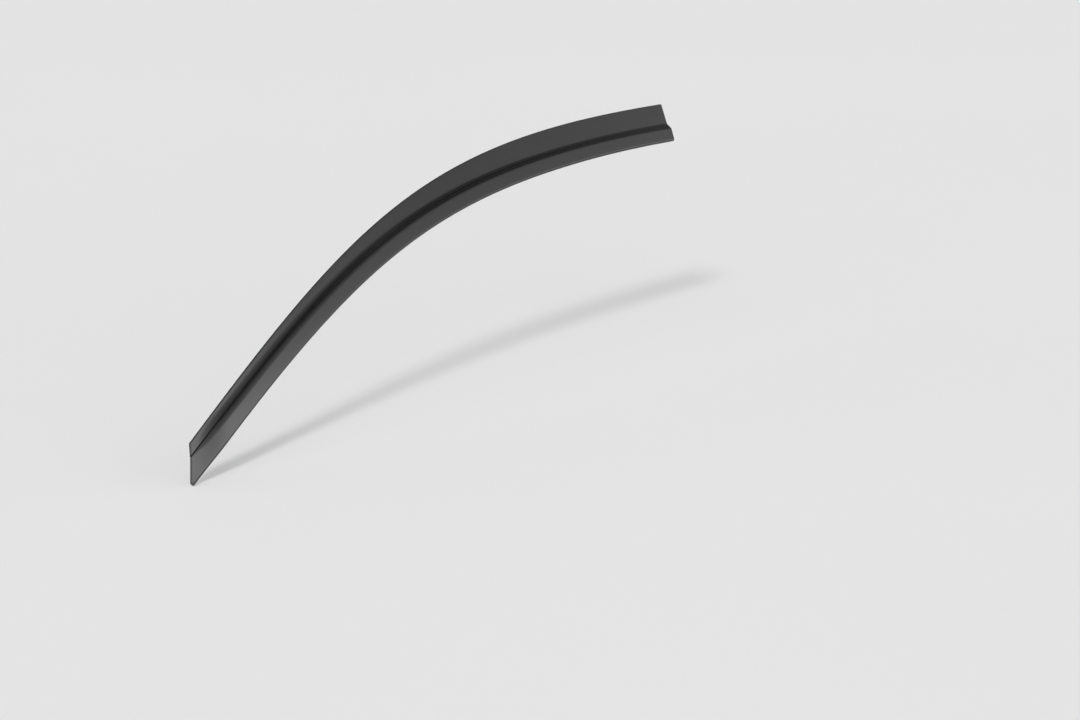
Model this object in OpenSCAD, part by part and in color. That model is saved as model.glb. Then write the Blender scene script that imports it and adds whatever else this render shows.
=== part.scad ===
// Stick-on window rain deflector for a car's left front door: one moulded visor and its foam tape.
// +X runs rearward along the car, +Y inboard and +Z up. The origin lies on the door frame's surface,
// under the middle of the tape, half way along the visor. Lengths are in millimetres, angles in degrees.

/* [Upper edge in side view] */
// Length of the upper edge along the car
span = 854; // [700:1:1000]
// Height of the edge's rear end above its front end
rise = 246; // [190:1:300]
// Angle above level at which the edge leaves its front end
front_angle = 34.8; // [28:0.2:42]
// Reach of the curve's front handle
front_reach = 368; // [280:1:440]
// Angle above level at which the edge meets its rear end
rear_angle = -1.8; // [-6:0.2:4]
// Reach of the curve's rear handle
rear_reach = 387; // [280:1:440]

/* [Cut ends] */
// Lean of the front cut from upright, its lower end forward
front_cut = 9; // [0:0.5:15]
// Lean of the rear cut from upright, its lower end forward
rear_cut = 2.5; // [0:0.5:12]
// Radius of the four corners in side view
corner_r = 2; // [1:0.1:4]

/* [Door frame] */
// Lean of the door frame from upright at the middle of the upper edge
lean = 24; // [15:0.5:32]
// Radius of the door frame's bulge, seen from the front
side_r = 1400; // [1000:10:2500]
// Radius of the door frame's bulge, seen from above
plan_r = 13000; // [8000:100:20000]
// Distance from the middle of the visor back to the widest place of the car
widest = 430; // [200:10:700]

/* [Flange and lip] */
// Flange width at the front, from the upper edge to the middle of the step
flange_front_w = 11.5; // [10.5:0.1:15]
// Flange width at the rear, from the upper edge to the middle of the step
flange_rear_w = 31.5; // [26:0.5:40]
// Length along the car over which the flange widens
flange_grow = 715; // [500:5:850]
// Lip width at the front, from the middle of the step to the lower edge
lip_front_w = 24.5; // [20:0.1:30]
// Lip width at the rear, from the middle of the step to the lower edge
lip_rear_w = 21.7; // [18:0.1:28]

/* [Step] */
// Step width at the front cut
step_nose_w = 3; // [2.6:0.1:12]
// Step width behind the nose
step_front_w = 15.2; // [12:0.1:20]
// Step width at the rear
step_rear_w = 10.8; // [10:0.1:18]
// Share of the step's width that each of its rounded sides takes at the front
round_front = 0.48; // [0.3:0.01:0.49]
// Share of the step's width that each of its rounded sides takes at the rear
round_rear = 0.31; // [0.25:0.01:0.49]
// Step height at the front cut
step_nose_h = 0.6; // [0.2:0.1:0.8]
// Step height behind the nose
step_front_h = 3.8; // [2.5:0.1:5]
// Step height at the rear
step_rear_h = 5.2; // [3:0.1:7]
// Length of the nose, over which the step comes up to its height
nose_l = 56; // [40:1:150]
// Length over which the step comes up to its width
nose_spread = 28; // [16:1:40]
// Width of the crease lines along both borders of the step's ramp
crease_w = 1; // [0.6:0.1:1.4]
// Depth of the crease lines at the front, where they meet
crease_front_d = 0.5; // [0.2:0.05:0.8]
// Depth of the crease lines at the rear
crease_rear_d = 0.15; // [0.05:0.05:0.4]
// Length over which the crease lines get shallower
crease_l = 430; // [200:10:700]

/* [Wall and edges] */
// Wall thickness
wall = 2.2; // [1.8:0.1:3]
// Inside radius of the rolled lower edge
roll_r = 0.8; // [0.5:0.1:1.5]
// Angle through which the lower edge is rolled in towards the glass
roll_angle = 60; // [30:1:75]
// Radius on the outer side of the cut ends
end_r = 1.4; // [0.5:0.1:1.4]

/* [Foam tape] */
// Tape thickness
tape_t = 1; // [0.8:0.1:1.6]
// Tape width at the front
tape_front_w = 5; // [4:0.5:6]
// Tape width at the rear
tape_rear_w = 12; // [8:0.5:16]
// Distance from the upper edge to the tape
tape_inset = 1.5; // [1.3:0.1:2.5]
// Distance that the tape stays clear of each cut end
tape_clear = 12; // [6:1:30]
// Gap between two strips of tape
tape_gap = 8; // [3:1:20]

/* [Hidden] */

visor_colour = [0.27, 0.27, 0.275];
tape_colour = [0.15, 0.15, 0.155];

// Steps along the visor, and across each rounded side of the step in the section
long_steps = 54;
half_steps = 4;
strips = 3;
// Places of the cross-sections near a cut end, measured in from it
end_places = [0, 0.2, 0.5, 0.9, 1.4, 2, 2.8, 4];
// Turn of the section points round an edge
nose_turns = [15, 50, 90];
tail_turns = [45, 78];
roll_steps = 3;
// Least space kept between neighbouring section points
least = 0.2;

half_wall = wall / 2;
roll_out = roll_r + wall;
outer_share = min(end_r, 0.65 * wall) / wall;
inner_share = 0.25;
front_slant = front_angle + front_cut;
rear_slant = rear_angle + rear_cut;
front_rate = 3 * front_reach * cos(front_slant);
rear_rate = 3 * rear_reach * cos(rear_slant);

function mix(a, b, x) = a + (b - a) * x;
// Smooth rise from 0 to 1 with level ends
function ease(x) = let(c = min(1, max(0, x))) c * c * (3 - 2 * c);

// The upper edge in side view is a cubic curve with two ends and two handles
edge_points = [
    [0, 0],
    front_reach * [cos(front_angle), sin(front_angle)],
    [span, rise] - rear_reach * [cos(rear_angle), sin(rear_angle)],
    [span, rise]
];
function edge_at(t) =
    let(s = 1 - t, p = edge_points)
    s * s * s * p[0] + 3 * s * s * t * p[1] + 3 * s * t * t * p[2] + t * t * t * p[3];
function edge_run(t) =
    let(s = 1 - t, p = edge_points)
    3 * s * s * (p[1] - p[0]) + 6 * s * t * (p[2] - p[1]) + 3 * t * t * (p[3] - p[2]);
edge_middle = edge_at(0.5);

// The door frame's surface bulges on a circle seen from the front and on a parabola seen from above.
// p is a place in side view, from the middle of the upper edge.
function door_y(p) =
    side_r * cos(lean) - sqrt(side_r * side_r - pow(p[1] + side_r * sin(lean), 2))
    + (pow(p[0] - widest, 2) - pow(widest, 2)) / (2 * plan_r);
function door_slope(p) =
    let(k = p[1] + side_r * sin(lean))
    [(p[0] - widest) / plan_r, k / sqrt(side_r * side_r - k * k)];
function door_normal(p) =
    let(s = door_slope(p), n = [s[0], -1, s[1]])
    n / norm(n);

// A point of the part. t runs from the front cut, 0, to the rear cut, 1. q is the distance from the upper
// edge, d a further move square to the edge, and n the height off the door frame.
function bare_point(t, q, d, n) =
    let(
        u = edge_at(t) - edge_middle,
        run = edge_run(t),
        a = atan2(run[1], run[0]),
        k = mix(front_cut, rear_cut, t),
        square = [sin(a), -cos(a)],
        across = [-sin(k), -cos(k)],
        slope = door_slope(u) * square,
        flat = 1 / sqrt(1 + slope * slope),
        p = u + across * (q * flat / cos(a + k)) + square * (d * flat)
    )
    [p[0], door_y(p), p[1]] + door_normal(p) * n;
datum = bare_point(0.5, tape_inset + tape_w(0.5) / 2, 0, 0);
function point(t, q, d, n) = bare_point(t, q, d, n) - datum;

// Sizes of the section along the visor
function flange_w(t) = mix(flange_front_w, flange_rear_w, ease(t * span / flange_grow));
function lip_w(t) = mix(lip_front_w, lip_rear_w, t);
function step_w(t) =
    mix(step_front_w, step_rear_w, ease(t))
    - (step_front_w - step_nose_w) * (1 - ease(t * span / nose_spread));
function step_h(t) =
    mix(step_front_h, step_rear_h, ease(t))
    - (step_front_h - step_nose_h) * (1 - ease(t * span / nose_l));
function round_share(t) = mix(round_front, round_rear, ease(t));
function ramp_w(t) = step_w(t) * (1 - 2 * round_share(t));
function crease_d(t) = mix(crease_front_d, crease_rear_d, ease(t * span / crease_l));
function tape_w(t) = mix(tape_front_w, tape_rear_w, ease(t * span / flange_grow));

// The step's outline is a straight ramp between two rounded sides. x runs across it from 0 to 1, and a is
// the share that each rounded side takes.
function step_rise(x, a) =
    x <= 0 ? 0
    : x >= 1 ? 1
    : x < a ? x * x / (2 * a * (1 - a))
    : x < 1 - a ? (x - a / 2) / (1 - a)
    : 1 - (1 - x) * (1 - x) / (2 * a * (1 - a));
function step_slope(x, a) =
    x <= 0 || x >= 1 ? 0
    : x < a ? x / (a * (1 - a))
    : x < 1 - a ? 1 / (1 - a)
    : (1 - x) / (a * (1 - a));

// How far a corner of the given inner angle, rounded to corner_r, draws its edge in at a distance e from
// the cut, and how far an edge rounded to r has dropped there
function corner_draw(e, angle) =
    e >= corner_r * (1 + cos(angle)) ? 0
    : corner_r / tan(angle / 2) - sqrt(pow(corner_r, 2) - pow(e - corner_r, 2)) - e / tan(angle);
function round_drop(r, e) = e >= r ? 0 : r - sqrt(r * r - (r - e) * (r - e));
function top_draw(t) =
    corner_draw(t * front_rate, 90 + front_slant) * cos(front_slant)
    + corner_draw((1 - t) * rear_rate, 90 - rear_slant) * cos(rear_slant);
function bottom_draw(t) =
    corner_draw(t * front_rate, 90 - front_slant) * cos(front_slant)
    + corner_draw((1 - t) * rear_rate, 90 + rear_slant) * cos(rear_slant);

// Section of the visor as pairs of an outer and an inner point, from the upper edge to the lower one. Each
// point is [q, d, n], as point() takes it.
function section(t) =
    let(
        top = top_draw(t),
        mid = flange_w(t),
        bottom = mid + lip_w(t) - bottom_draw(t),
        base = tape_t + wall,
        h = step_h(t),
        w = step_w(t),
        a = round_share(t),
        start = mid - w / 2,
        face = base + h,
        land_from = max(tape_inset, top + half_wall + least),
        land_to = max(tape_inset + tape_w(t), land_from + least),
        ramp_from = max(start, land_to + least),
        ramp_to = min(start + w, bottom - roll_out - least),
        side = max(least, ramp_w(t) / 2),
        inside = max(least / 2, side - crease_w / 2),
        deep = crease_d(t),
        half_deep = deep * max(0, 1 - 2 * (side - inside) / crease_w),
        tip = [-roll_out + (roll_r + half_wall) * sin(roll_angle),
               face - roll_out + (roll_r + half_wall) * cos(roll_angle)]
    )
    concat(
        [for (g = nose_turns)
            [[top, half_wall * (1 - cos(g)), base - half_wall + half_wall * sin(g)],
             [top, half_wall * (1 - cos(g)), base - half_wall - half_wall * sin(g)]]],
        [for (q = [land_from, land_to])
            [[q, 0, base + h * step_rise((q - start) / w, a)], [q, 0, tape_t]]],
        [for (i = [0 : half_steps])
            wall_pair(mix(ramp_from, mid - side - crease_w / 2, i / half_steps), base, start, h, w, a, 0)],
        [for (g = [[-side, deep], [-inside, half_deep], [inside, half_deep], [side, deep]])
            wall_pair(mid + g[0], base, start, h, w, a, g[1])],
        [for (i = [0 : half_steps])
            wall_pair(mix(mid + side + crease_w / 2, ramp_to, i / half_steps), base, start, h, w, a, 0)],
        [for (i = [0 : roll_steps])
            let(g = roll_angle * i / roll_steps)
            [[bottom, roll_out * (sin(g) - 1), face - roll_out * (1 - cos(g))],
             [bottom, roll_r * sin(g) - roll_out, face - roll_out + roll_r * cos(g)]]],
        [for (g = tail_turns)
            let(
                along = half_wall * sin(g) * [cos(roll_angle), -sin(roll_angle)],
                out = half_wall * cos(g) * [sin(roll_angle), cos(roll_angle)],
                o = tip + along + out,
                i = tip + along - out
            )
            [[bottom, o[0], o[1]], [bottom, i[0], i[1]]]]
    );
function wall_pair(q, base, start, h, w, a, groove) =
    let(
        x = (q - start) / w,
        n = base + h * step_rise(x, a),
        m = h / w * step_slope(x, a),
        l = sqrt(1 + m * m)
    )
    [[q, groove * m / l, n - groove / l], [q, wall * m / l, n - wall / l]];

// The section in its place, with the wall thinned in a curve towards the cut ends
function ring(t) =
    let(
        e = min(t * front_rate, (1 - t) * rear_rate),
        outer = round_drop(outer_share * wall, e) / wall,
        inner = round_drop(inner_share * wall, e) / wall,
        pairs = [for (s = section(t)) [for (p = s) point(t, p[0], p[1], p[2])]]
    )
    concat(
        [for (s = pairs) mix(s[0], s[1], outer)],
        [for (i = [len(pairs) - 1 : -1 : 0]) mix(pairs[i][1], pairs[i][0], inner)]
    );

// Ends of the strips of tape, and the places of all the cross-sections, which the strips share
tape_from = tape_clear / norm(edge_run(0));
tape_to = 1 - tape_clear / norm(edge_run(1));
half_gap = tape_gap / 2 / norm(edge_run(0.5));
function strip_from(i) = mix(tape_from, tape_to, i / strips) + (i > 0 ? half_gap : 0);
function strip_to(i) = mix(tape_from, tape_to, (i + 1) / strips) - (i < strips - 1 ? half_gap : 0);
front_places = [for (e = end_places) e / front_rate];
rear_places = [for (i = [len(end_places) - 1 : -1 : 0]) 1 - end_places[i] / rear_rate];
marks = concat(
    [front_places[len(front_places) - 1]],
    [for (i = [0 : strips - 1]) each [strip_from(i), strip_to(i)]],
    [rear_places[0]]
);
between = [
    for (i = [0 : len(marks) - 2])
        let(count = max(1, ceil((marks[i + 1] - marks[i]) * long_steps)))
        for (j = [i == 0 ? 1 : 0 : count - 1]) mix(marks[i], marks[i + 1], j / count)
];
places = concat(front_places, between, rear_places);

// A closed solid through rings of paired points: sides between the rings, and a cap at each end. The tape's
// sides are split the other way, so that its face and the flange's back have the same facets.
module loft(rings, other_way = false) {
    m = len(rings[0]);
    last = (len(rings) - 1) * m;
    sides = [
        for (j = [0 : len(rings) - 2], i = [0 : m - 1])
            let(a = j * m + i, b = j * m + (i + 1) % m)
            each other_way ? [[a, a + m, b], [b, a + m, b + m]] : [[a, b + m, b], [a, a + m, b + m]]
    ];
    caps = [
        for (k = [0 : m / 2 - 2])
            let(a = k, b = k + 1, c = m - 2 - k, d = m - 1 - k)
            each [[a, b, c], [a, c, d], [last + c, last + b, last + a], [last + d, last + c, last + a]]
    ];
    polyhedron(points = [for (r = rings) each r], faces = concat(sides, caps), convexity = 10);
}

module visor() {
    color(visor_colour) loft([for (t = places) ring(t)]);
}

// One strip of tape, under the flange's back and on the door frame
module tape(i) {
    inside = [for (t = places) if (t > strip_from(i) - 1e-9 && t < strip_to(i) + 1e-9) t];
    rings = [
        for (t = inside)
            let(a = tape_inset, b = tape_inset + tape_w(t))
            [point(t, a, 0, tape_t), point(t, b, 0, tape_t), point(t, b, 0, 0), point(t, a, 0, 0)]
    ];
    color(tape_colour) loft(rings, other_way = true);
}

module tape_front() {
    tape(0);
}

module tape_middle() {
    tape(1);
}

module tape_rear() {
    tape(2);
}

visor();
tape_front();
tape_middle();
tape_rear();
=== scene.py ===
"""Window rain deflector, dressed on its packed frame.

One moulded visor in black acrylic, and the three strips of foam tape on its back, over a plain pale floor.
As fitted, +X runs rearward, +Y inboard and +Z up. Lengths are in metres and angles in radians.
"""

import math

import bpy
import numpy as np
from bpy.props import FloatProperty, FloatVectorProperty, IntProperty, PointerProperty
from mathutils import Matrix, Vector


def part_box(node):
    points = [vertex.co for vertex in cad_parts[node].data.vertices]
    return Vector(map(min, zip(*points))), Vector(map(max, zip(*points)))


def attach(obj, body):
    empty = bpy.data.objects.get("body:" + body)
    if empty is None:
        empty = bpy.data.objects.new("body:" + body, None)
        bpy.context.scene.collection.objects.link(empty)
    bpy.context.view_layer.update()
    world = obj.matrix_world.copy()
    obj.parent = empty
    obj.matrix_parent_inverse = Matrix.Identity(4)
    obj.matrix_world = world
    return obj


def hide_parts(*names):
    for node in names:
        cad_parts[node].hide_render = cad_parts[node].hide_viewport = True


bl_info = {
    "name": "Window rain deflector",
    "version": (1, 0, 0),
    "blender": (4, 5, 0),
    "location": "3D View > Sidebar > Deflector",
    "description": "Builds the visor, its foam tape and their materials over the packed frame",
    "category": "Object",
}

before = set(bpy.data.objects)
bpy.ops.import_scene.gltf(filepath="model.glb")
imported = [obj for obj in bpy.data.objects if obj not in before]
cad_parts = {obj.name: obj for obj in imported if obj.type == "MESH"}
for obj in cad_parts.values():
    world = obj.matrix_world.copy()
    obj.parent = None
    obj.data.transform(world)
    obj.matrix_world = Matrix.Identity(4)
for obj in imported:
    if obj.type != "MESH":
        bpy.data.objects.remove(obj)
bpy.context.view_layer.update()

MM = 0.001
TAPES = ("tape_front", "tape_middle", "tape_rear")


def length(name, default_mm, description):
    """A length, given in millimetres and kept in metres."""
    return FloatProperty(
        name=name, description=description, default=default_mm * MM, min=0, unit="LENGTH", precision=4
    )


def angle(name, default_degrees, description):
    """An angle, given in degrees and kept in radians."""
    return FloatProperty(
        name=name, description=description, default=math.radians(default_degrees), subtype="ANGLE"
    )


def share(name, default, description):
    """A share from 0 to 1."""
    return FloatProperty(name=name, description=description, default=default, min=0, max=1, subtype="FACTOR")


def plain(name, default, description):
    """A number with no unit."""
    return FloatProperty(name=name, description=description, default=default)


def colour(name, default, description):
    """A linear colour."""
    return FloatVectorProperty(
        name=name, description=description, default=default, size=3, min=0, max=1, subtype="COLOR"
    )


class EdgeSizes(bpy.types.PropertyGroup):
    """Upper edge in side view, and the two cut ends"""

    span: length("Span", 854, "Length of the upper edge, front to rear")
    rise: length("Rise", 246, "Height of the edge's rear end above its front end")
    front_angle: angle("Front angle", 34.8, "Angle above level at which the edge leaves its front end")
    front_reach: length("Front reach", 368, "Reach of the curve's front handle")
    rear_angle: angle("Rear angle", -1.8, "Angle above level at which the edge meets its rear end")
    rear_reach: length("Rear reach", 387, "Reach of the curve's rear handle")
    front_cut: angle("Front cut", 9, "Lean of the front cut from upright, its lower end forward")
    rear_cut: angle("Rear cut", 2.5, "Lean of the rear cut from upright, its lower end forward")
    corner_r: length("Corner radius", 2, "Radius of the four corners in side view")


class BackingSizes(bpy.types.PropertyGroup):
    """Bulged surface that the visor follows, at the back of its tape"""

    lean: angle("Lean", 24, "Lean of the surface from upright at the middle of the upper edge")
    side_r: length("Side radius", 1400, "Radius of the surface's bulge, seen from the front")
    plan_r: length("Plan radius", 13000, "Radius of the surface's bulge, seen from above")
    widest: length("Widest place", 430, "Distance from the visor's middle back to the top of the bulge")


class SectionSizes(bpy.types.PropertyGroup):
    """Section of the moulding"""

    flange_front_w: length("Front flange width", 11.5, "Upper edge to the middle of the step, at the front")
    flange_rear_w: length("Rear flange width", 31.5, "Upper edge to the middle of the step, at the rear")
    flange_grow: length("Flange growth", 715, "Length, front to rear, over which the flange widens")
    lip_front_w: length("Front lip width", 24.5, "Middle of the step to the lower edge, at the front")
    lip_rear_w: length("Rear lip width", 21.7, "Middle of the step to the lower edge, at the rear")
    step_nose_w: length("Nose step width", 3, "Width of the step at the front cut")
    step_front_w: length("Front step width", 15.2, "Width of the step behind the nose")
    step_rear_w: length("Rear step width", 10.8, "Width of the step at the rear")
    round_front: share("Front rounding", 0.48, "Share of the step's width in each rounded side, at the front")
    round_rear: share("Rear rounding", 0.31, "Share of the step's width in each rounded side, at the rear")
    step_nose_h: length("Nose step height", 0.3, "Height of the step at the front cut")
    step_front_h: length("Front step height", 3.8, "Height of the step behind the nose")
    step_rear_h: length("Rear step height", 5.2, "Height of the step at the rear")
    nose_spread: length("Nose spread", 28, "Length over which the step comes up to its width")
    nose_shift: length("Nose shift", 0.75, "How much nearer the upper edge the step lies at the nose")
    nose_flare: length("Nose flare", 3, "How much further up the step begins behind the nose")
    nose_round: share("Nose rounding", 0.4, "Share of the step's upper half that is rounded, at the nose")
    crease_w: length("Crease width", 1, "Width of the crease lines along the ramp's borders")
    crease_front_d: length("Front crease depth", 0.5, "Depth of the crease lines at the front")
    crease_rear_d: length("Rear crease depth", 0.15, "Depth of the crease lines at the rear")
    crease_l: length("Crease length", 430, "Length over which the crease lines get shallower")
    wall: length("Wall", 2.2, "Wall thickness")
    roll_r: length("Roll radius", 0.8, "Inside radius of the rolled lower edge")
    roll_angle: angle("Roll angle", 60, "Angle through which the lower edge is rolled in")
    end_r: length("End radius", 1.4, "Radius on the outer side of the cut ends")
    stations: IntProperty(name="Stations", description="Cross-sections along the visor", default=250, min=40)


class TapeSizes(bpy.types.PropertyGroup):
    """Foam tape behind the flange"""

    tape_t: length("Thickness", 1, "Thickness of the tape")
    tape_front_w: length("Front width", 5, "Width of the tape at the front")
    tape_rear_w: length("Rear width", 12, "Width of the tape at the rear")
    tape_inset: length("Inset", 1.5, "Distance from the upper edge to the tape")
    tape_clear: length("End clearance", 12, "Distance that the tape stays clear of each cut end")
    tape_gap: length("Gap", 8, "Gap between two strips")
    bulge: length("Bulge", 0.12, "How far the pressed foam swells at its sides")


class Finish(bpy.types.PropertyGroup):
    """Colours and surface of the materials"""

    acrylic: colour("Acrylic", (0.0068, 0.0068, 0.0071), "Colour of the moulded acrylic")
    acrylic_cloud: colour("Acrylic cloud", (0.0086, 0.0086, 0.009), "Colour of the acrylic's paler clouds")
    # The rim colour is painted light: the thin edges are made paler for the light that they let through.
    acrylic_rim_light: colour("Acrylic rim", (0.014, 0.014, 0.0148), "Colour of the thin edges, which let light in")
    # The crease colour is painted shade: it darkens the crease lines where shade falls.
    acrylic_crease_shade: colour("Acrylic crease", (0.004, 0.004, 0.004), "Colour in the crease lines")
    gloss: share("Acrylic roughness", 0.2, "Roughness of the moulded faces")
    index: plain("Acrylic index", 1.49, "Index of refraction of the acrylic")
    foam: colour("Foam", (0.05, 0.05, 0.053), "Colour of the foam tape")
    # The cell colour is painted shade inside the foam's open cells; it also mottles the faces as a random
    # tone.
    foam_cell_shade: colour("Foam cell", (0.02, 0.02, 0.0215), "Colour inside the foam's cells")
    floor: colour("Floor", (0.8, 0.8, 0.8), "Colour of the floor")


class Stage(bpy.types.PropertyGroup):
    """Camera, floor and light"""

    eye: FloatVectorProperty(
        name="Camera place",
        description="Where the camera stands",
        default=(-1.8574, -2.0039, 0.6358),
        size=3,
        subtype="XYZ_LENGTH",
    )
    yaw: angle("Camera yaw", 45.9299, "Turn of the camera from +Y towards +X")
    pitch: angle("Camera pitch", 17.1294, "How far the camera looks down")
    roll: angle("Camera roll", -0.2708, "Turn of the camera about its own axis")
    lens: plain("Lens", 77.633, "Focal length in millimetres on a sensor 36 mm wide")
    floor_size: length("Floor size", 60000, "Width of the floor")
    floor_gap: length("Floor gap", 0.2, "Distance from the visor's lowest point down to the floor")
    fade_level: plain("Dark side level", 1.0, "Brightness of the world's fading half, as a multiple")
    side_level: plain("Bright side level", 1.6, "Brightness of the world's plain half")
    key_level: plain("Key level", 0.95, "Strength of the soft sun")
    key_angle: angle("Key angle", 11, "Angle across the soft sun, which sets how soft the shadow is")
    key_way: FloatVectorProperty(
        name="Key direction",
        description="Way along which the soft sun shines",
        default=(0.6, 0.28, -0.75),
        size=3,
        subtype="XYZ",
    )


# Shape of the visor

# Share of a crease's half width that its steep wall takes
CREASE_STEEP = 0.4

# Each change at the nose fades out between two distances from the front cut, in millimetres, and the flare
# fades in before that
NOSE_HEIGHT = (2, 54)
NOSE_SHIFT = (40, 80)
NOSE_SHARE = (-4, 31)
NOSE_ROUND = (0, 60)
NOSE_FLARE_IN = (0, 15)
NOSE_FLARE_OUT = (15, 52)
NOSE_CREASE = (20, 65)

# Shares by which a crease is narrower and deeper at the nose, and the step's lower half less rounded
NOSE_NARROWER = 0.1
NOSE_DEEPER = 0.8
NOSE_LESS_ROUND = 0.2

# Least distance between neighbouring blocks of the section
LEAST = 0.2 * MM

# Length behind the front cut over which the round of the upper edge turns from the cut to square
EDGE_SQUARE = 3 * MM

# Points across the blocks of the section, the creases and the ramp between them by their stops
LAND_POINTS = 7
SIDE_POINTS = 20
CREASE_POINTS = (5, 4, 6, 4, 5)
LIP_POINTS = 7
ROLL_POINTS = 13

# First and last turn round the upper edge and round the tail, in degrees, and how many there are
EDGE_TURNS = (6, 90, 9)
TAIL_TURNS = (10, 84, 8)

# Turns round each cut's outer rounding, and places past it, in millimetres from the cut, and how many
END_TURNS = 9
CORNER_PLACES = (1.7, 4.4, 9)

# Shares of the wall that a cut's rounding takes, at most from the outside, and from the inside
OUTER_ROUND = 0.65
INNER_ROUND = 0.25

# Mask of the thin edges, where the acrylic gets its painted rim light: how far it reaches in from a cut, as a
# multiple of the end radius, the share of each turn by which it fades round the upper edge, and its value at
# the end of the rolled edge
CUT_REACH = 1.5
EDGE_FADE = 0.9
ROLL_MASK = 0.6

# Points across a face of the tape, and up its side between two faces
TAPE_FACE_POINTS = 8
TAPE_SIDE_POINTS = 5


def mix(a, b, x):
    """From a to b along a straight line."""
    return a + (b - a) * x


def ease(x):
    """Smooth rise from 0 to 1 with level ends: three times the square less twice the cube."""
    c = np.clip(x, 0, 1)
    return c * c * (3 - 2 * c)


class Form:
    """The deflector's own surface, as functions of two parameters.

    t runs from the front cut, 0, to the rear cut, 1. q is the distance from the upper edge across the visor,
    d a further move square to that edge, and n the height off the surface at the tape's back.
    """

    def __init__(self, edge, backing, section, tape):
        self.edge, self.backing, self.section, self.tape = edge, backing, section, tape
        e = edge
        first = np.array([0.0, 0.0])
        last = np.array([e.span, e.rise])
        front = e.front_reach * np.array([math.cos(e.front_angle), math.sin(e.front_angle)])
        rear = e.rear_reach * np.array([math.cos(e.rear_angle), math.sin(e.rear_angle)])
        self.handles = np.array([first, front, last - rear, last])
        self.base = tape.tape_t + section.wall
        self.roll_out = section.roll_r + section.wall
        self.front_slant = e.front_angle + e.front_cut
        self.rear_slant = e.rear_angle + e.rear_cut
        self.front_rate = 3 * e.front_reach * math.cos(self.front_slant)
        self.rear_rate = 3 * e.rear_reach * math.cos(self.rear_slant)
        self.middle = self.edge_at(np.array(0.5))
        self.datum = np.zeros(3)
        half = np.array(0.5)
        self.datum = self.point(half, tape.tape_inset + self.tape_w(half) / 2, 0, 0)

    def edge_at(self, t):
        """Cubic curve between two ends, with two handles: the four points weighted by the binomial terms."""
        t = np.asarray(t, float)[..., None]
        s = 1 - t
        p = self.handles
        return s**3 * p[0] + 3 * s * s * t * p[1] + 3 * s * t * t * p[2] + t**3 * p[3]

    def edge_run(self, t):
        """How fast the upper edge moves with t: the cubic curve's derivative."""
        t = np.asarray(t, float)[..., None]
        s = 1 - t
        p = self.handles
        return 3 * s * s * (p[1] - p[0]) + 6 * s * t * (p[2] - p[1]) + 3 * t * t * (p[3] - p[2])

    def backing_at(self, x, z):
        """The surface's y and its two slopes: a circle leaning in as it rises, plus a parabola in plan."""
        b = self.backing
        k = z + b.side_r * math.sin(b.lean)
        root = np.sqrt(b.side_r**2 - k * k)
        y = b.side_r * math.cos(b.lean) - root + ((x - b.widest) ** 2 - b.widest**2) / (2 * b.plan_r)
        return y, (x - b.widest) / b.plan_r, k / root

    def point(self, t, q, d, n):
        """Place of (t, q, d, n): down along the cut to q, square to the edge by d, and straight out by n."""
        t, q, d, n = np.broadcast_arrays(*[np.asarray(v, float) for v in (t, q, d, n)])
        u = self.edge_at(t) - self.middle
        run = self.edge_run(t)
        a = np.arctan2(run[..., 1], run[..., 0])
        k = mix(self.edge.front_cut, self.edge.rear_cut, t)
        square = np.stack([np.sin(a), -np.cos(a)], -1)
        across = np.stack([-np.sin(k), -np.cos(k)], -1)
        _, slope_x, slope_z = self.backing_at(u[..., 0], u[..., 1])
        slope = slope_x * square[..., 0] + slope_z * square[..., 1]
        flat = 1 / np.sqrt(1 + slope * slope)
        p = u + across * (q * flat / np.cos(a + k))[..., None] + square * (d * flat)[..., None]
        y, slope_x, slope_z = self.backing_at(p[..., 0], p[..., 1])
        normal = np.stack([slope_x, -np.ones_like(slope_x), slope_z], -1)
        normal /= np.linalg.norm(normal, axis=-1, keepdims=True)
        return np.stack([p[..., 0], y, p[..., 1]], -1) + normal * n[..., None] - self.datum

    def nose(self, t, fade):
        """1 up to where the fade starts, falling smoothly to 0 where it ends."""
        start, end = fade
        return 1 - ease((t * self.edge.span / MM - start) / (end - start))

    def flange_w(self, t):
        """Upper edge to the step's middle: a smooth growth to the rear, less the shift at the nose."""
        s = self.section
        plain_w = mix(s.flange_front_w, s.flange_rear_w, ease(t * self.edge.span / s.flange_grow))
        return plain_w - s.nose_shift * self.nose(t, NOSE_SHIFT)

    def tape_w(self, t):
        """Width of the tape, growing to the rear as the flange does."""
        grow = ease(t * self.edge.span / self.section.flange_grow)
        return mix(self.tape.tape_front_w, self.tape.tape_rear_w, grow)

    def lip_w(self, t):
        """Step's middle to the lower edge: an even change to the rear, plus the shift at the nose."""
        s = self.section
        return mix(s.lip_front_w, s.lip_rear_w, t) + s.nose_shift * self.nose(t, NOSE_SHIFT)

    def step_w(self, t):
        """Width of the step: a smooth change to the rear, less what it lacks at the nose."""
        s = self.section
        full = mix(s.step_front_w, s.step_rear_w, ease(t))
        return full - (s.step_front_w - s.step_nose_w) * (1 - ease(t * self.edge.span / s.nose_spread))

    def step_h(self, t):
        """Height of the step: a smooth growth to the rear, less what it lacks at the nose."""
        s = self.section
        full = mix(s.step_front_h, s.step_rear_h, ease(t))
        return full - (s.step_front_h - s.step_nose_h) * self.nose(t, NOSE_HEIGHT)

    def round_share(self, t):
        """Share of the step's width in each rounded side: a smooth change to the rear."""
        return mix(self.section.round_front, self.section.round_rear, ease(t))

    def crease_w(self, t):
        """Width of a crease, a little narrower at the nose."""
        return self.section.crease_w * (1 - NOSE_NARROWER * self.nose(t, NOSE_CREASE))

    def crease_d(self, t):
        """Depth of a crease: a smooth change over the crease length, and deeper at the nose."""
        s = self.section
        plain_d = mix(s.crease_front_d, s.crease_rear_d, ease(t * self.edge.span / s.crease_l))
        return plain_d * (1 + NOSE_DEEPER * self.nose(t, NOSE_CREASE))

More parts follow.
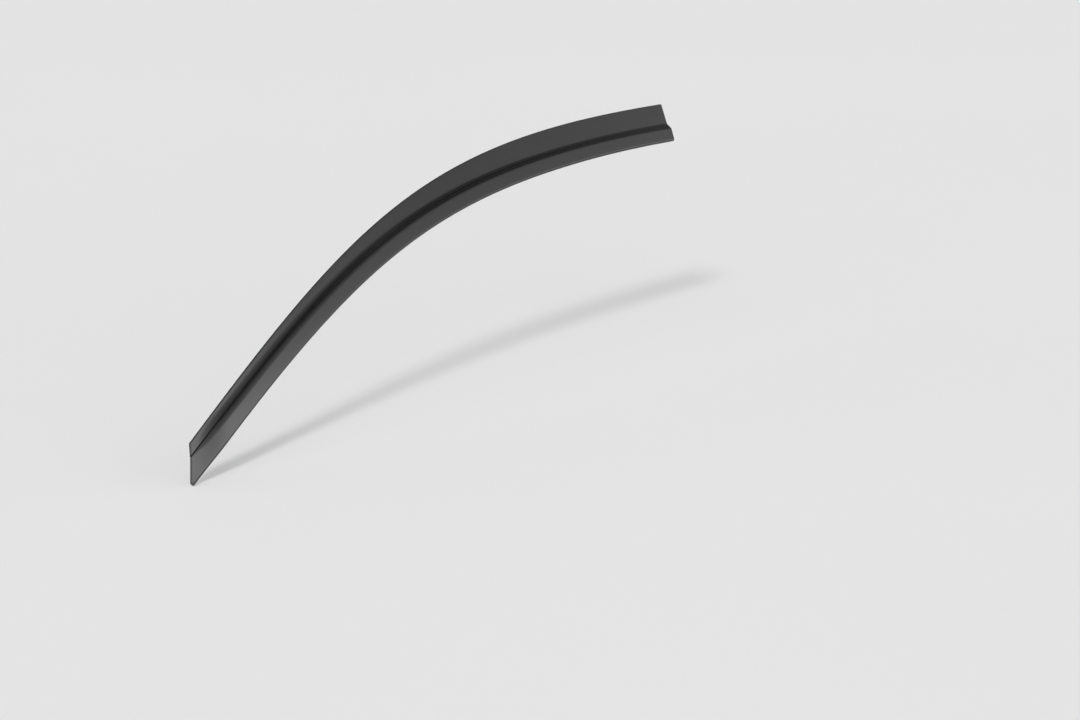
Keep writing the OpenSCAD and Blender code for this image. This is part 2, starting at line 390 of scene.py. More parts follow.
    def upper_half(self, t):
        """The step's half on the flange's side: its width, its rounded share and its share of the height.

        The width has a flare behind the nose, and the share of the height grows from almost 0 to a half.
        """
        s = self.section
        flare = s.nose_flare * (1 - self.nose(t, NOSE_FLARE_IN)) * self.nose(t, NOSE_FLARE_OUT)
        rounded = mix(2 * self.round_share(t), s.nose_round, self.nose(t, NOSE_ROUND))
        return self.step_w(t) / 2 + flare, rounded, 0.5 * (1 - self.nose(t, NOSE_SHARE))

    @staticmethod
    def half_rise(y, b):
        """Half of the step's outline, from 0 to 1: a parabola up to the share b, then a straight ramp."""
        y = np.clip(y, 0, 1)
        return np.where(y < b, y * y / (b * (2 - b)), (2 * y - b) / (2 - b))

    @staticmethod
    def half_slope(y, b):
        """Slope of that outline: an even growth up to the share b, then the ramp's."""
        y = np.clip(y, 0, 1)
        return np.where(y < b, 2 * y / (b * (2 - b)), 2 / (2 - b))

    def step_at(self, t, q):
        """Height and slope of the step at q: one half rises to the step's middle, the other on to the lip."""
        h, lower_w = self.step_h(t), self.step_w(t) / 2
        lower_b = 2 * self.round_share(t) - NOSE_LESS_ROUND * self.nose(t, NOSE_CREASE)
        upper_w, upper_b, part = self.upper_half(t)
        from_mid = q - self.flange_w(t)
        up, down = 1 + from_mid / upper_w, 1 - from_mid / lower_w
        upper_n = part * self.half_rise(up, upper_b)
        lower_n = 1 - (1 - part) * self.half_rise(down, lower_b)
        upper_m = part / upper_w * self.half_slope(up, upper_b)
        lower_m = (1 - part) / lower_w * self.half_slope(down, lower_b)
        return h * np.where(from_mid < 0, upper_n, lower_n), h * np.where(from_mid < 0, upper_m, lower_m)

    def corner_draw(self, e, inner):
        """How far a rounded corner of that inner angle draws an edge in, at a distance e from the cut.

        It is the gap, along the cut, from the straight edge to the circle that touches the edge and the cut.
        """
        r = self.edge.corner_r
        drawn = r / math.tan(inner / 2) - np.sqrt(np.maximum(0, r * r - (e - r) ** 2)) - e / math.tan(inner)
        return np.where(e >= r * (1 + math.cos(inner)), 0, drawn)

    def draws(self, t):
        """How far the corners draw in the upper edge and the lower edge at t, square to each edge."""
        front, rear = t * self.front_rate, (1 - t) * self.rear_rate
        right = math.pi / 2
        top = self.corner_draw(front, right + self.front_slant) * math.cos(self.front_slant)
        top = top + self.corner_draw(rear, right - self.rear_slant) * math.cos(self.rear_slant)
        bottom = self.corner_draw(front, right - self.front_slant) * math.cos(self.front_slant)
        bottom = bottom + self.corner_draw(rear, right + self.rear_slant) * math.cos(self.rear_slant)
        return top, bottom


def spread(stops, counts, last=True):
    """Rows of places filled in evenly between their stops: counts[i] from stop i on, and the last stop."""
    at = np.repeat(np.arange(len(counts)), counts)
    part = np.concatenate([np.arange(c) / c for c in counts])
    rows = mix(stops[:, at], stops[:, at + 1], part)
    return np.concatenate([rows, stops[:, -1:]], axis=1) if last else rows


def crease_line(x, steep):
    """Depth across a crease, from -1 to 1: down the wall on the flange's side, then back up the other one.

    The first wall takes up the width steep, and the other the rest of 2, so that they are alike at 1.
    """
    return np.minimum(ease((x + 1) / steep), ease((1 - x) / (2 - steep)))


def crease_wall(x, steep):
    """1 on the outer half of the wall on the flange's side, falling smoothly to 0 past it."""
    return np.where(x > -1, 1 - ease((x + 1) / steep - 0.5), 0)


def wall_pairs(form, t, q, groove):
    """Outer and inner points of the wall at q: the step's outline moved in by the groove, and by the wall.

    Both moves are square to the outline.
    """
    s = form.section
    rise, m = form.step_at(t, q)
    n = form.base + rise
    size = np.sqrt(1 + m * m)
    outer = np.stack([q, groove * m / size, n - groove / size], -1)
    inner = np.stack([q, s.wall * m / size, n - s.wall / size], -1)
    return outer, inner


def visor_section(form, t):
    """Outer and inner points of the section at each t, from the upper edge to the lower one, as (q, d, n).

    Blocks in order, each spread evenly between its stops: rounded upper edge, taped land, upper side of the
    step, crease lines and ramp, lower side of the step, lip, rolled edge in a circle, and rounded tail in a
    half circle. Also a mask of the thin edges, for their painted rim light, and one of the creases, for their
    painted shade and duller roughness.
    """
    s, tape = form.section, form.tape
    t = t[:, None]
    half = s.wall / 2
    top, bottom_draw = form.draws(t)
    mid = form.flange_w(t)
    bottom = mid + form.lip_w(t) - bottom_draw
    h, w, a = form.step_h(t), form.step_w(t), form.round_share(t)
    face = form.base + h
    land_from = np.maximum(tape.tape_inset, top + half + LEAST)
    land_to = np.maximum(tape.tape_inset + form.tape_w(t), land_from + LEAST)
    ramp_from = np.maximum(mid - form.upper_half(t)[0], land_to + LEAST)
    ramp_to = np.minimum(mid + w / 2, bottom - form.roll_out - LEAST)
    side = np.maximum(LEAST, w * (1 - 2 * a) / 2)
    gap = form.crease_w(t) / 2
    inside = np.maximum(LEAST / 2, side - gap)
    outers, inners, edges, creases = [], [], [], []

    def add(outer, inner, edge=0.0, crease=0.0):
        """Take up a block of points, with its values in the two masks."""
        shape = outer.shape[:2]
        outers.append(outer)
        inners.append(inner)
        edges.append(np.broadcast_to(edge, shape))
        creases.append(np.broadcast_to(crease, shape))

    def turn(q, d, n):
        """Points from their three places."""
        return np.stack(np.broadcast_arrays(q, d, n), -1)

    g = np.radians(np.linspace(*EDGE_TURNS))[None, :]
    inward = half * (1 - np.cos(g))
    square = ease(t * form.front_rate / EDGE_SQUARE)
    q, d = top + inward * (1 - square), inward * square
    add(
        turn(q, d, form.base - half + half * np.sin(g)),
        turn(q, d, form.base - half - half * np.sin(g)),
        edge=np.cos(g * EDGE_FADE) ** 0.5,
    )
    q = spread(np.concatenate([land_from, land_to], 1), [LAND_POINTS])
    outer, _ = wall_pairs(form, t, q, 0)
    add(outer, turn(q, 0, tape.tape_t))
    q = spread(np.concatenate([ramp_from, mid - side - gap], 1), [SIDE_POINTS])
    add(*wall_pairs(form, t, q, 0))
    stops = [mid - side - gap, mid - side, mid - inside, mid + inside, mid + side, mid + side + gap]
    q = spread(np.concatenate(stops, 1), CREASE_POINTS, last=False)[:, 1:]
    x = np.stack([q - mid + side, q - mid - side]) / gap
    steep = CREASE_STEEP + (1 - CREASE_STEEP) * form.nose(t, NOSE_CREASE)
    line = crease_line(x, steep).max(axis=0)
    # Crease mask: where painted shade darkens the crease lines and the roughness is duller.
    crease = np.maximum(line / 2, crease_wall(x, steep).max(axis=0))
    add(*wall_pairs(form, t, q, form.crease_d(t) * line), crease=crease)
    q = spread(np.concatenate([mid + side + gap, ramp_to], 1), [SIDE_POINTS])
    add(*wall_pairs(form, t, q, 0))
    x = np.linspace(0, 1, LIP_POINTS + 2)[None, 1:-1]
    flat = [mix(ramp_to, bottom, x), mix(0, -form.roll_out, x)]
    add(turn(*flat, face), turn(*flat, face - s.wall))
    g = np.linspace(0, s.roll_angle, ROLL_POINTS)[None, :]
    out = form.roll_out
    add(
        turn(bottom, out * (np.sin(g) - 1), face - out * (1 - np.cos(g))),
        turn(bottom, s.roll_r * np.sin(g) - out, face - out + s.roll_r * np.cos(g)),
        edge=ROLL_MASK * ease(g / s.roll_angle) ** 2,
    )
    g = np.radians(np.linspace(*TAIL_TURNS))[None, :]
    cos_r, sin_r = math.cos(s.roll_angle), math.sin(s.roll_angle)
    tip_d = -out + (s.roll_r + half) * sin_r + half * np.sin(g) * cos_r
    tip_n = face - out + (s.roll_r + half) * cos_r - half * np.sin(g) * sin_r
    add(
        turn(bottom, tip_d + half * np.cos(g) * sin_r, tip_n + half * np.cos(g) * cos_r),
        turn(bottom, tip_d - half * np.cos(g) * sin_r, tip_n - half * np.cos(g) * cos_r),
        edge=1.0,
    )
    return [np.concatenate(blocks, axis=1) for blocks in (outers, inners, edges, creases)]


def visor_places(form, count):
    """Stations from cut to cut: close together round each cut's rounding and corners, then even."""
    turns = np.linspace(0, math.pi / 2, END_TURNS)
    close = np.concatenate([form.section.end_r * (1 - np.cos(turns)), np.linspace(*CORNER_PLACES) * MM])
    front = close / form.front_rate
    rear = 1 - close[::-1] / form.rear_rate
    return np.concatenate([front, np.linspace(front[-1], rear[0], count)[1:-1], rear])


def round_drop(r, e):
    """How far a quarter circle of radius r has dropped at a distance e from the cut."""
    return np.where(e >= r, 0, r - np.sqrt(np.maximum(0, r * r - (r - e) ** 2)))


def visor_grid(form, count):
    """Rings of points round the moulding: outer side from the upper edge down, inner side back up.

    Towards the cuts the wall thins in a quarter circle from the outside and a smaller one from the inside.
    """
    s = form.section
    t = visor_places(form, count)
    outer, inner, edge, crease = visor_section(form, t)
    places = [form.point(t[:, None], v[..., 0], v[..., 1], v[..., 2]) for v in (outer, inner)]
    e = np.minimum(t * form.front_rate, (1 - t) * form.rear_rate)
    outer_share = min(s.end_r, OUTER_ROUND * s.wall) / s.wall
    drop_out = (round_drop(outer_share * s.wall, e) / s.wall)[:, None, None]
    drop_in = (round_drop(INNER_ROUND * s.wall, e) / s.wall)[:, None, None]
    rings = np.concatenate([mix(*places, drop_out), mix(*places[::-1], drop_in)[:, ::-1]], axis=1)
    # The edge mask, where the rim light is painted, also reaches in from each cut.
    cut = ease(1 - e / (CUT_REACH * s.end_r))[:, None]
    edge = np.maximum(edge, cut)
    masks = {
        "edge": np.concatenate([edge, edge[:, ::-1]], axis=1),
        "crease": np.concatenate([crease, np.zeros_like(crease)], axis=1),
    }
    run = np.concatenate([[0], np.cumsum(np.linalg.norm(np.diff(places[0][:, 0], axis=0), axis=1))])
    along = np.broadcast_to(run[:, None], rings.shape[:2])
    across = np.concatenate([outer[..., 0] + outer[..., 1], -inner[:, ::-1, 0] - inner[:, ::-1, 1]], axis=1)
    return rings, masks, np.stack([along, across], -1)


def tape_grid(form, index, count=90):
    """Rings of one strip: two flat faces, and two sides that swell by a half sine between them.

    The rings are even along the strip, with two more close to each cut end.
    """
    tape = form.tape
    first = tape.tape_clear / np.linalg.norm(form.edge_run(np.array(0.0)))
    last = 1 - tape.tape_clear / np.linalg.norm(form.edge_run(np.array(1.0)))
    gap = tape.tape_gap / 2 / np.linalg.norm(form.edge_run(np.array(0.5)))
    strips = len(TAPES)
    begin = mix(first, last, index / strips) + (gap if index > 0 else 0)
    end = mix(first, last, (index + 1) / strips) - (gap if index < strips - 1 else 0)
    rings_at = np.concatenate([[0, 0.002], np.linspace(0.01, 0.99, count), [0.998, 1]])
    t = mix(begin, end, rings_at)[:, None]
    wide = np.linspace(0, 1, TAPE_FACE_POINTS)[None, :]
    tall = np.linspace(0, 1, TAPE_SIDE_POINTS + 2)[None, 1:-1]
    q_from, q_to = tape.tape_inset, tape.tape_inset + form.tape_w(t)
    swell = tape.bulge * np.sin(math.pi * tall)
    zero = np.zeros_like(t)
    upper = form.point(t, mix(q_from, q_to, wide), 0, tape.tape_t)
    lower = form.point(t, mix(q_to, q_from, wide), 0, 0)
    far = form.point(t, q_to + zero, swell + zero, tape.tape_t * (1 - tall))
    near = form.point(t, q_from + zero, -swell + zero, tape.tape_t * tall)
    rings = np.concatenate([upper, far, lower, near], axis=1)
    side = np.repeat([0.0, 1.0, 0.0, 1.0], [TAPE_FACE_POINTS, TAPE_SIDE_POINTS] * 2)
    mask = np.broadcast_to(side, rings.shape[:2]).copy()
    mask[[0, -1]] = 1
    run = np.concatenate([[0], np.cumsum(np.linalg.norm(np.diff(upper[:, 0], axis=0), axis=1))])
    step = np.linalg.norm(np.diff(rings[len(rings) // 2], axis=0), axis=1)
    around = np.concatenate([[0], np.cumsum(step)])
    uv = np.stack(np.meshgrid(run, around, indexing="ij"), -1)
    return rings, {"edge": mask}, uv


# Meshes


def rings_to_mesh(name, rings, masks, uv, sharp=35):
    """A closed mesh through rings of points: quads between neighbouring rings, and a cap over each end.

    A cap joins each point to the one opposite it, from the middle of the ring's first side to its far side.
    An edge that turns by more than sharp, in degrees, stays sharp.
    """
    count, around = rings.shape[:2]
    j = np.arange(count - 1)[:, None] * around
    i = np.arange(around)[None, :]
    k = (i + 1) % around
    sides = np.stack([j + i, j + k, j + around + k, j + around + i], -1).reshape(-1, 4)
    c = np.arange(around // 2 - 1)
    cap = np.stack([around - 1 - c, around - 2 - c, c + 1, c], -1)
    end = (count - 1) * around
    faces = np.concatenate([sides, cap, cap[:, ::-1] + end])
    mesh = bpy.data.meshes.new(name)
    points = rings.reshape(-1, 3)
    mesh.vertices.add(len(points))
    mesh.vertices.foreach_set("co", points.astype(np.float32).ravel())
    mesh.loops.add(faces.size)
    mesh.loops.foreach_set("vertex_index", faces.astype(np.int32).ravel())
    mesh.polygons.add(len(faces))
    mesh.polygons.foreach_set("loop_start", np.arange(0, faces.size, 4, dtype=np.int32))
    mesh.update(calc_edges=True)
    mesh.polygons.foreach_set("use_smooth", np.ones(len(faces), bool))
    mesh.set_sharp_from_angle(angle=math.radians(sharp))
    for key, values in masks.items():
        layer = mesh.attributes.new(key, "FLOAT", "POINT")
        layer.data.foreach_set("value", np.ascontiguousarray(values, np.float32).ravel())
    layer = mesh.uv_layers.new(name="surface")
    layer.data.foreach_set("uv", uv.reshape(-1, 2)[faces.ravel()].astype(np.float32).ravel())
    if mesh.validate():
        raise RuntimeError(f"the mesh {name} had faults")
    return mesh


def add_piece(name, mesh, material, slot, *nodes):
    """Put a mesh into the scene as a piece of the one body, in place of its CAD nodes."""
    obj = bpy.data.objects.new(name, mesh)
    bpy.context.scene.collection.objects.link(obj)
    mesh.materials.append(material)
    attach(obj, "root")
    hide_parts(*nodes)
    return obj


# Materials


class Nodes:
    """Short ways to place and join the nodes of one tree"""

    # Sockets of the Mix node: the factor, the two values and the result, for colours and for numbers
    MIX_SOCKETS = {"RGBA": (0, 6, 7, 2), "FLOAT": (0, 2, 3, 0)}

    def __init__(self, tree):
        self.tree = tree

    def add(self, kind, **settings):
        node = self.tree.nodes.new(kind)
        for key, value in settings.items():
            setattr(node, key, value)
        return node

    def feed(self, socket, value):
        """Link another node's socket, or set a plain value."""
        if isinstance(value, bpy.types.NodeSocket):
            self.tree.links.new(value, socket)
        else:
            socket.default_value = value

    def math(self, operation, *values, clamp=False):
        """Result of one operation on the values."""
        node = self.add("ShaderNodeMath", operation=operation, use_clamp=clamp)
        for i, value in enumerate(values):
            self.feed(node.inputs[i], value)
        return node.outputs[0]

    def blend(self, factor, a, b, kind="RGBA"):
        """Straight mix of two colours, or of two numbers."""
        node = self.add("ShaderNodeMix", data_type=kind)
        *inputs, output = self.MIX_SOCKETS[kind]
        for i, value in zip(inputs, (factor, a, b)):
            self.feed(node.inputs[i], value)
        return node.outputs[output]

    def span(self, value, low, high, to_low, to_high):
        """Smooth change from one result to another as the value goes from low to high."""
        node = self.add("ShaderNodeMapRange", interpolation_type="SMOOTHSTEP")
        for i, v in enumerate((value, low, high, to_low, to_high)):
            self.feed(node.inputs[i], v)
        return node.outputs[0]

    def noise(self, vector, scale, rough, detail=3.0):
        """Cloudy noise from 0 to 1."""
        node = self.add("ShaderNodeTexNoise")
        self.feed(node.inputs["Vector"], vector)
        self.feed(node.inputs["Scale"], scale)
        self.feed(node.inputs["Detail"], detail)
        self.feed(node.inputs["Roughness"], rough)
        return node.outputs["Fac"]

    def bump(self, height, strength, invert=False):
        """Normal of a face that is bumped by 0.2 mm at full height and strength."""
        node = self.add("ShaderNodeBump", invert=invert)
        node.inputs["Strength"].default_value = strength
        node.inputs["Distance"].default_value = 0.2 * MM
        self.feed(node.inputs["Height"], height)
        return node.outputs["Normal"]


def rgba(c):
    """A colour with full cover."""
    return (c[0], c[1], c[2], 1.0)


def new_group(name, inputs, outputs):
    """An empty node group with its named sockets, and its input and output nodes."""
    tree = bpy.data.node_groups.new(name, "ShaderNodeTree")
    for label, kind, default in inputs:
        socket = tree.interface.new_socket(name=label, in_out="INPUT", socket_type=kind)
        if default is not None:
            socket.default_value = default
    for label, kind in outputs:
        tree.interface.new_socket(name=label, in_out="OUTPUT", socket_type=kind)
    nodes = Nodes(tree)
    return tree, nodes, nodes.add("NodeGroupInput"), nodes.add("NodeGroupOutput")


def grain_group():
    """Surface grain of a moulded or foamed face: a fine noise and a wide one, as a height and as a tone."""
    group = bpy.data.node_groups.get("Surface grain")
    if group:
        return group
    group, n, given, result = new_group(
        "Surface grain",
        [
            ("Vector", "NodeSocketVector", None),
            ("Fine scale", "NodeSocketFloat", 900.0),
            ("Wide scale", "NodeSocketFloat", 9.0),
            ("Wide share", "NodeSocketFloat", 0.3),
        ],
        [("Height", "NodeSocketFloat"), ("Tone", "NodeSocketFloat")],
    )
    fine = n.noise(given.outputs["Vector"], given.outputs["Fine scale"], 0.55)
    wide = n.noise(given.outputs["Vector"], given.outputs["Wide scale"], 0.5)
    n.feed(result.inputs["Height"], n.blend(given.outputs["Wide share"], fine, wide, "FLOAT"))
    n.feed(result.inputs["Tone"], n.span(wide, 0.3, 0.7, 0.0, 1.0))
    return group


def edge_group():
    """Tone along thin edges: one colour turns into another by the piece's edge mask, broken up by a noise. On
    the acrylic the paler edge colour is painted light for the light let through its thin edges; on the foam
    both colours are alike and the mask marks its cut sides.
    """
    group = bpy.data.node_groups.get("Edge tone")
    if group:
        return group
    group, n, given, result = new_group(
        "Edge tone",
        [
            ("Face", "NodeSocketColor", None),
            ("Edge", "NodeSocketColor", None),
            ("Vector", "NodeSocketVector", None),
            ("Scale", "NodeSocketFloat", 120.0),
        ],
        [("Color", "NodeSocketColor"), ("Mask", "NodeSocketFloat")],
    )
    mask = n.add("ShaderNodeAttribute", attribute_name="edge").outputs["Fac"]
    broken = n.noise(given.outputs["Vector"], given.outputs["Scale"], 0.6)
    rim_light_and_cut_mask = n.math("MULTIPLY", mask, n.span(broken, 0.25, 0.6, 0.55, 1.0), clamp=True)
    n.feed(result.inputs["Color"], n.blend(rim_light_and_cut_mask, given.outputs["Face"], given.outputs["Edge"]))
    n.feed(result.inputs["Mask"], rim_light_and_cut_mask)
    return group


def use_group(n, group, **values):
    """Place a node group, with its sockets' values by name."""
    node = n.add("ShaderNodeGroup", node_tree=group)
    for key, value in values.items():
        n.feed(node.inputs[key.replace("_", " ")], value)
    return node


def new_material(name, viewport, rough):
    """A material with its node helper, its shader and the place on the piece."""
    material = bpy.data.materials.new(name)
    material.use_nodes = True
    material.diffuse_color = rgba(viewport)
    material.roughness = rough
    n = Nodes(material.node_tree)
    shader = material.node_tree.nodes["Principled BSDF"]
    place = n.add("ShaderNodeTexCoord").outputs["Object"]
    return material, n, shader, place


def acrylic_material(finish):
    """Black moulded acrylic with a satin gloss.

    Clouds a shade paler, flow streaks along the moulding in the roughness, a fine orange-peel bump, thin
    edges painted paler for the light they let through, and creases with painted shade and a duller roughness.
    """
    material, n, shader, place = new_material("Moulded acrylic", finish.acrylic, finish.gloss)
    grain = use_group(n, grain_group(), Vector=place, Fine_scale=850.0, Wide_scale=7.0, Wide_share=0.25)
    face = n.blend(grain.outputs["Tone"], rgba(finish.acrylic), rgba(finish.acrylic_cloud))
    # Painted light: the thin edges turn paler by the edge mask, for the light that they let through.
    edge = use_group(n, edge_group(), Face=face, Edge=rgba(finish.acrylic_rim_light), Vector=place, Scale=160.0)
    crease = n.add("ShaderNodeAttribute", attribute_name="crease").outputs["Fac"]
    # Painted shade: the base colour darkens in the crease lines, by the crease mask.
    crease_shade_mask = n.span(crease, 0.0, 0.5, 0.0, 1.0)
    tone = n.blend(crease_shade_mask, edge.outputs["Color"], rgba(finish.acrylic_crease_shade))
    n.feed(shader.inputs["Base Color"], tone)
    flow = n.add("ShaderNodeMapping")
    n.feed(flow.inputs["Vector"], n.add("ShaderNodeUVMap", uv_map="surface").outputs["UV"])
    flow.inputs["Scale"].default_value = (6.0, 260.0, 1.0)
    streaks = n.noise(flow.outputs["Vector"], 1.0, 0.55)
    rough = n.span(streaks, 0.3, 0.7, finish.gloss - 0.015, finish.gloss + 0.02)
    rough = n.math("SUBTRACT", rough, n.math("MULTIPLY", edge.outputs["Mask"], 0.06))
    dull = n.span(crease, 0.5, 0.9, 0.0, 0.5)
    n.feed(shader.inputs["Roughness"], n.math("ADD", rough, dull, clamp=True))
    n.feed(shader.inputs["Normal"], n.bump(grain.outputs["Height"], 0.12))
    shader.inputs["IOR"].default_value = finish.index
    return material


def foam_material(finish):
    """Dark foam tape: open cells on its cut sides, with painted shade inside them, and a smoother adhesive
    skin on its two faces, mottled a little towards the same darker colour by a random tone.
    """
    material, n, shader, place = new_material("Foam tape", finish.foam, 0.9)
    grain = use_group(n, grain_group(), Vector=place, Fine_scale=2600.0, Wide_scale=40.0, Wide_share=0.2)
    cells = n.add("ShaderNodeTexVoronoi", feature="F1")
    n.feed(cells.inputs["Vector"], place)
    cells.inputs["Scale"].default_value = 2200.0
    open_cell = n.span(cells.outputs["Distance"], 0.1, 0.6, 1.0, 0.0)
    foam, cell_shade = rgba(finish.foam), rgba(finish.foam_cell_shade)
    edge = use_group(n, edge_group(), Face=foam, Edge=foam, Vector=place, Scale=500.0)
    # Painted shade: the open cells on the cut sides take the darker cell colour.
    cut = n.math("MULTIPLY", open_cell, edge.outputs["Mask"])
    skin = n.blend(n.math("MULTIPLY", grain.outputs["Tone"], 0.35), edge.outputs["Color"], cell_shade)
    n.feed(shader.inputs["Base Color"], n.blend(cut, skin, cell_shade))
    n.feed(shader.inputs["Roughness"], n.span(edge.outputs["Mask"], 0.0, 1.0, 0.55, 0.95))
    height = n.math("ADD", n.math("MULTIPLY", grain.outputs["Height"], 0.3), cut)
    n.feed(shader.inputs["Normal"], n.bump(height, 0.6, invert=True))
    return material


def floor_material(finish):
    """Pale matt floor with a faint unevenness in tone."""
    material, n, shader, place = new_material("Pale floor", finish.floor, 0.9)
    grain = use_group(n, grain_group(), Vector=place, Fine_scale=40.0, Wide_scale=0.6, Wide_share=0.5)
    paler = [min(1.0, c * 1.012) for c in finish.floor]
    n.feed(shader.inputs["Base Color"], n.blend(grain.outputs["Tone"], rgba(finish.floor), rgba(paler)))
    shader.inputs["Roughness"].default_value = 0.9
    shader.inputs["Specular IOR Level"].default_value = 0.2
    return material


# Stage

# Squares along each side of the floor
FLOOR_SQUARES = 8


def floor_mesh(size, z):
    """A level grid of squares from minus to plus half the size."""
    row = FLOOR_SQUARES + 1
    side = np.linspace(-size / 2, size / 2, row)
    x, y = np.meshgrid(side, side, indexing="xy")
    points = np.stack([x, y, np.full_like(x, z)], -1).reshape(-1, 3)
    a = (np.arange(FLOOR_SQUARES)[:, None] * row + np.arange(FLOOR_SQUARES)[None, :]).ravel()
    mesh = bpy.data.meshes.new("floor")
    mesh.from_pydata(points, [], np.stack([a, a + 1, a + row + 1, a + row], -1).tolist())
    return mesh


# Brightness of the world on the dark side of the studio, by the height above the horizon in degrees
WORLD_FADE = (
    (-90, 0.8),
    (-1, 0.8),
    (1, 5.0),
    (5, 4.5),
    (8, 3.7),
    (12, 1.9),
    (16, 1.5),
    (21, 1.12),
    (26, 0.9),
    (30, 0.88),
    (36, 0.76),
    (42, 0.5),
    (46, 0.33),
    (50, 0.2),
    (56, 0.09),
    (65, 0.04),
    (90, 0.04),
)


def world_light(stage):
    """A world in two halves by direction: a plain bright one towards -X, and one that fades to a dark top.

    The fading half is darker behind, towards +Y. Each change of direction is a smooth step.
    """
    world = bpy.data.worlds.new("Soft studio")
    world.use_nodes = True
    n = Nodes(world.node_tree)
    background = world.node_tree.nodes["Background"]
    direction = n.add("ShaderNodeSeparateXYZ")
    n.feed(direction.inputs[0], n.add("ShaderNodeTexCoord").outputs["Generated"])
    height = n.math("ARCSINE", direction.outputs["Z"])
    fade = n.add("ShaderNodeValToRGB")
    ramp = fade.color_ramp
    while len(ramp.elements) < len(WORLD_FADE):
        ramp.elements.new(0.5)
    top = max(level for _, level in WORLD_FADE)
    for element, (degrees, level) in zip(ramp.elements, WORLD_FADE):
        element.position = 0.5 + degrees / 180
        element.color = rgba([level / top] * 3)
    n.feed(fade.inputs[0], n.math("MULTIPLY_ADD", height, 1 / math.pi, 0.5))
    dark_side = n.math("MULTIPLY", fade.outputs["Color"], top * stage.fade_level)
    dark_side = n.math("MULTIPLY", dark_side, n.span(direction.outputs["Y"], -0.4, 0.0, 1.0, 0.35))
    side = n.span(direction.outputs["X"], -0.55, -0.05, 1.0, 0.0)
    n.feed(background.inputs["Strength"], n.blend(side, dark_side, stage.side_level, "FLOAT"))
    background.inputs["Color"].default_value = (1.0, 1.0, 1.0, 1.0)
    bpy.context.scene.world = world


def sun_light(stage):
    """One soft sun, turned so that its rays run along the given direction."""
    data = bpy.data.lights.new("key", "SUN")
    data.energy = stage.key_level
    data.angle = stage.key_angle
    obj = bpy.data.objects.new("key", data)
    bpy.context.scene.collection.objects.link(obj)
    obj.rotation_euler = Vector(stage.key_way).to_track_quat("-Z", "Y").to_euler()


def photo_camera(stage):
    """The camera at the photograph's viewing angle: looks along the yaw and pitch, turned by the roll."""
    cy, sy = math.cos(stage.yaw), math.sin(stage.yaw)
    cp, sp = math.cos(stage.pitch), math.sin(stage.pitch)
    look = Vector((sy * cp, cy * cp, -sp))
    right = look.cross(Vector((0, 0, 1))).normalized()
    up = right.cross(look)
    cr, sr = math.cos(stage.roll), math.sin(stage.roll)
    right, up = right * cr + up * sr, up * cr - right * sr
    data = bpy.data.cameras.new("camera")
    data.sensor_width = 36.0
    data.lens = stage.lens
    data.clip_end = 200.0
    camera = bpy.data.objects.new("camera", data)
    bpy.context.scene.collection.objects.link(camera)
    turn = Matrix((right, up, -look)).transposed()
    camera.matrix_world = Matrix.Translation(Vector(stage.eye)) @ turn.to_4x4()
    bpy.context.scene.camera = camera


# Operators and panel


def deflector_form(scene):
    """The deflector's surface in the scene's own sizes."""
    return Form(scene.visor_edge, scene.visor_backing, scene.visor_section, scene.visor_tape)


class DEFLECTOR_OT_visor(bpy.types.Operator):
    """Make the moulded visor and its acrylic"""

    bl_idname = "deflector.visor"
    bl_label = "Visor"

    def execute(self, context):
        scene = context.scene
        form = deflector_form(scene)
        mesh = rings_to_mesh("visor_moulding", *visor_grid(form, scene.visor_section.stations))
        material = acrylic_material(scene.visor_finish)
        add_piece("visor_moulding", mesh, material, "smoked_acrylic", "visor")
        return {"FINISHED"}


class DEFLECTOR_OT_tape(bpy.types.Operator):
    """Make the three strips of foam tape behind the flange"""

    bl_idname = "deflector.tape"
    bl_label = "Foam tape"

    def execute(self, context):
        scene = context.scene
        form = deflector_form(scene)
        material = foam_material(scene.visor_finish)
        for index, node in enumerate(TAPES):
            name = "foam_" + node
            mesh = rings_to_mesh(name, *tape_grid(form, index), sharp=50)
            add_piece(name, mesh, material, "foam_tape", node)
        return {"FINISHED"}


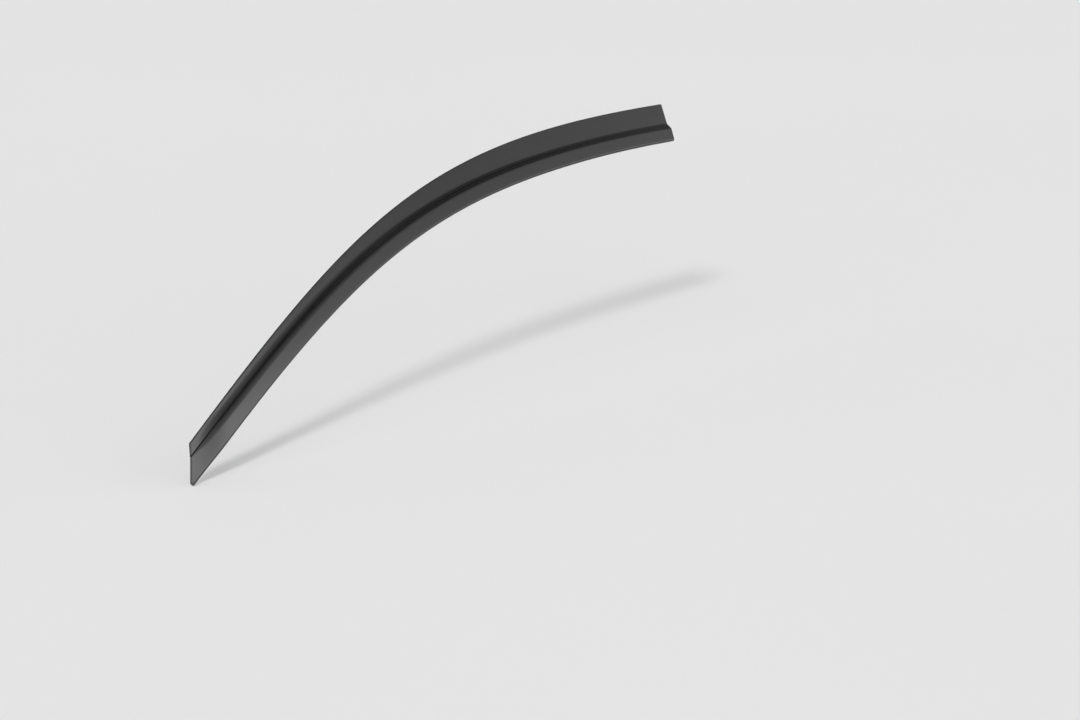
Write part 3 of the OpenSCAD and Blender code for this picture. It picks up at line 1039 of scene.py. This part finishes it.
class DEFLECTOR_OT_stage(bpy.types.Operator):
    """Set the floor, the light and the camera"""

    bl_idname = "deflector.stage"
    bl_label = "Stage"

    def execute(self, context):
        scene = context.scene
        stage = scene.visor_stage
        lowest = min(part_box(node)[0][2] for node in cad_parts)
        mesh = floor_mesh(stage.floor_size, lowest - stage.floor_gap)
        floor = bpy.data.objects.new("floor", mesh)
        scene.collection.objects.link(floor)
        mesh.materials.append(floor_material(scene.visor_finish))
        world_light(stage)
        sun_light(stage)
        photo_camera(stage)
        scene.view_settings.view_transform = "Standard"
        return {"FINISHED"}


class DEFLECTOR_PT_panel(bpy.types.Panel):
    """Lists the deflector's operators and sizes"""

    bl_idname = "DEFLECTOR_PT_panel"
    bl_label = "Window rain deflector"
    bl_space_type = "VIEW_3D"
    bl_region_type = "UI"
    bl_category = "Deflector"

    def draw(self, context):
        layout = self.layout
        for operator in OPERATORS:
            layout.operator(operator.bl_idname)
        for name, group in GROUPS.items():
            box = layout.box()
            box.label(text=group.__doc__)
            values = getattr(context.scene, name)
            for key in group.__annotations__:
                box.prop(values, key)


GROUPS = {
    "visor_edge": EdgeSizes,
    "visor_backing": BackingSizes,
    "visor_section": SectionSizes,
    "visor_tape": TapeSizes,
    "visor_finish": Finish,
    "visor_stage": Stage,
}
OPERATORS = (DEFLECTOR_OT_visor, DEFLECTOR_OT_tape, DEFLECTOR_OT_stage)


def register():
    for group in GROUPS.values():
        bpy.utils.register_class(group)
    for name, group in GROUPS.items():
        setattr(bpy.types.Scene, name, PointerProperty(type=group))
    for operator in OPERATORS:
        bpy.utils.register_class(operator)
    bpy.utils.register_class(DEFLECTOR_PT_panel)


def unregister():
    bpy.utils.unregister_class(DEFLECTOR_PT_panel)
    for operator in reversed(OPERATORS):
        bpy.utils.unregister_class(operator)
    for name, group in reversed(GROUPS.items()):
        delattr(bpy.types.Scene, name)
        bpy.utils.unregister_class(group)


def main():
    register()
    bpy.ops.deflector.visor()
    bpy.ops.deflector.tape()
    bpy.ops.deflector.stage()


if __name__ == "__main__":
    main()
